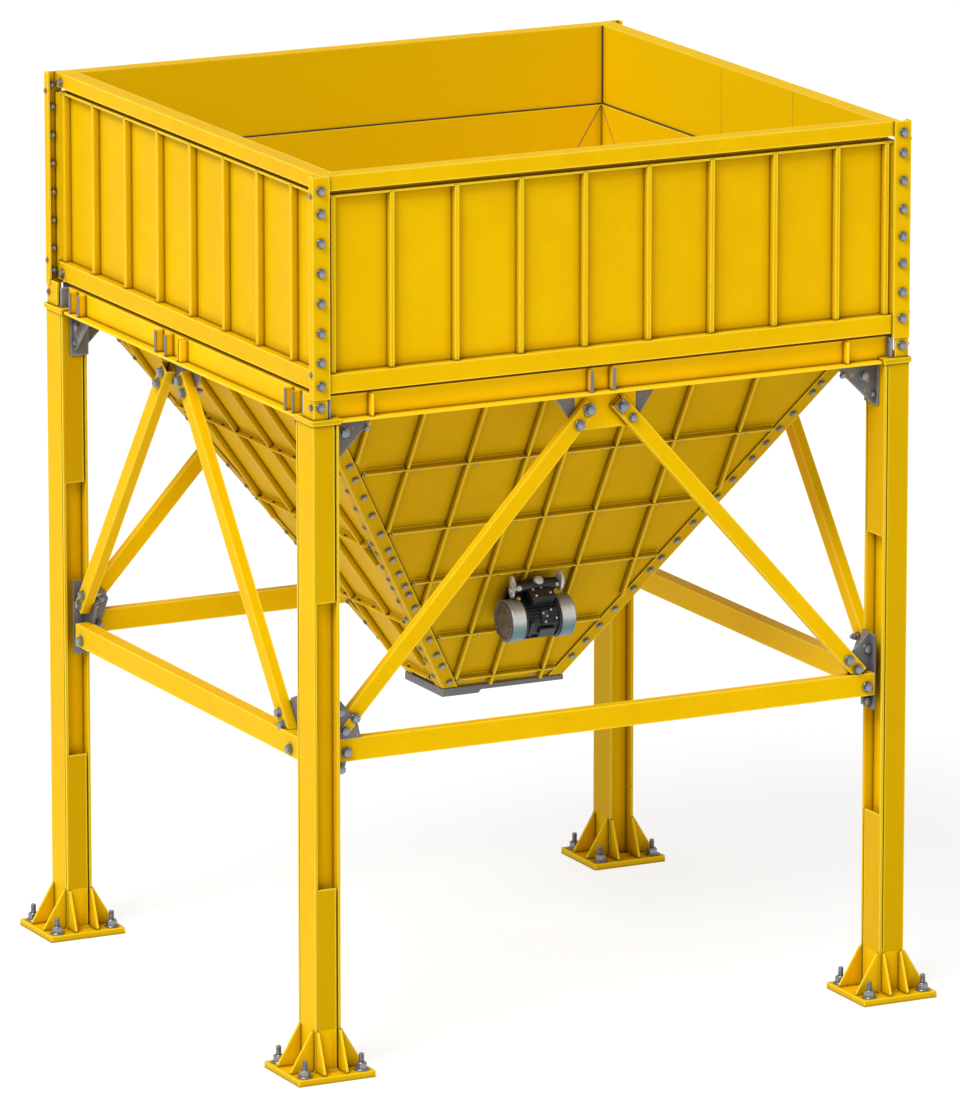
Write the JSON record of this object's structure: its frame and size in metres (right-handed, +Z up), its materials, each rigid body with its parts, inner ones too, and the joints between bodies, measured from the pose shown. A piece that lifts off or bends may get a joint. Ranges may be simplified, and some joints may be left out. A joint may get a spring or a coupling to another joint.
{
  "type": "feed hopper",
  "caption": "Steel feed hopper: a ribbed square bin over a pyramid hopper with a bottom outlet and a vibrator motor, on a braced frame with base plates.",
  "frame": {"origin": "on the floor, under the middle of the four base plates", "axes": "+Z up; +X to the right seen from the front; +Y to the back; the front (-Y) carries the vibrator motor"},
  "size_m": [3.255, 3.035, 4.1],
  "materials": {
    "yellow_paint": "satin, lightly weathered",
    "grey_steel": "matt primer",
    "black_paint": "satin",
    "bright_steel": "dull bright"
  },
  "bodies": {
    "root": {"brace_back_left": "yellow_paint", "brace_back_right": "yellow_paint", "brace_front_left": "yellow_paint", "brace_front_right": "yellow_paint", "brace_left_far": "yellow_paint", "brace_left_near": "yellow_paint", "brace_right_far": "yellow_paint", "brace_right_near": "yellow_paint", "column_back_left": "yellow_paint", "column_back_right": "yellow_paint", "column_front_left": "yellow_paint", "column_front_right": "yellow_paint", "corner_post_back_left": "yellow_paint", "corner_post_back_right": "yellow_paint", "corner_post_front_left": "yellow_paint", "corner_post_front_right": "yellow_paint", "hopper_angle_back_left": "yellow_paint", "hopper_angle_back_right": "yellow_paint", "hopper_angle_front_left": "yellow_paint", "hopper_angle_front_right": "yellow_paint", "hopper_panel_back": "yellow_paint", "hopper_panel_front": "yellow_paint", "hopper_panel_left": "yellow_paint", "hopper_panel_right": "yellow_paint", "motor_body": "black_paint", "motor_cover_left": "bright_steel", "motor_cover_right": "bright_steel", "outlet_flange": "grey_steel", "ring_beam_back": "yellow_paint", "ring_beam_front": "yellow_paint", "ring_beam_left": "yellow_paint", "ring_beam_right": "yellow_paint", "tie_beam_back": "yellow_paint", "tie_beam_front": "yellow_paint", "tie_beam_left": "yellow_paint", "tie_beam_right": "yellow_paint", "tie_gusset_back_left": "grey_steel", "tie_gusset_back_right": "grey_steel", "tie_gusset_front_left": "grey_steel", "tie_gusset_front_right": "grey_steel", "wall_back": "yellow_paint", "wall_front": "yellow_paint", "wall_left": "yellow_paint", "wall_right": "yellow_paint"}
  },
  "joints": []
}
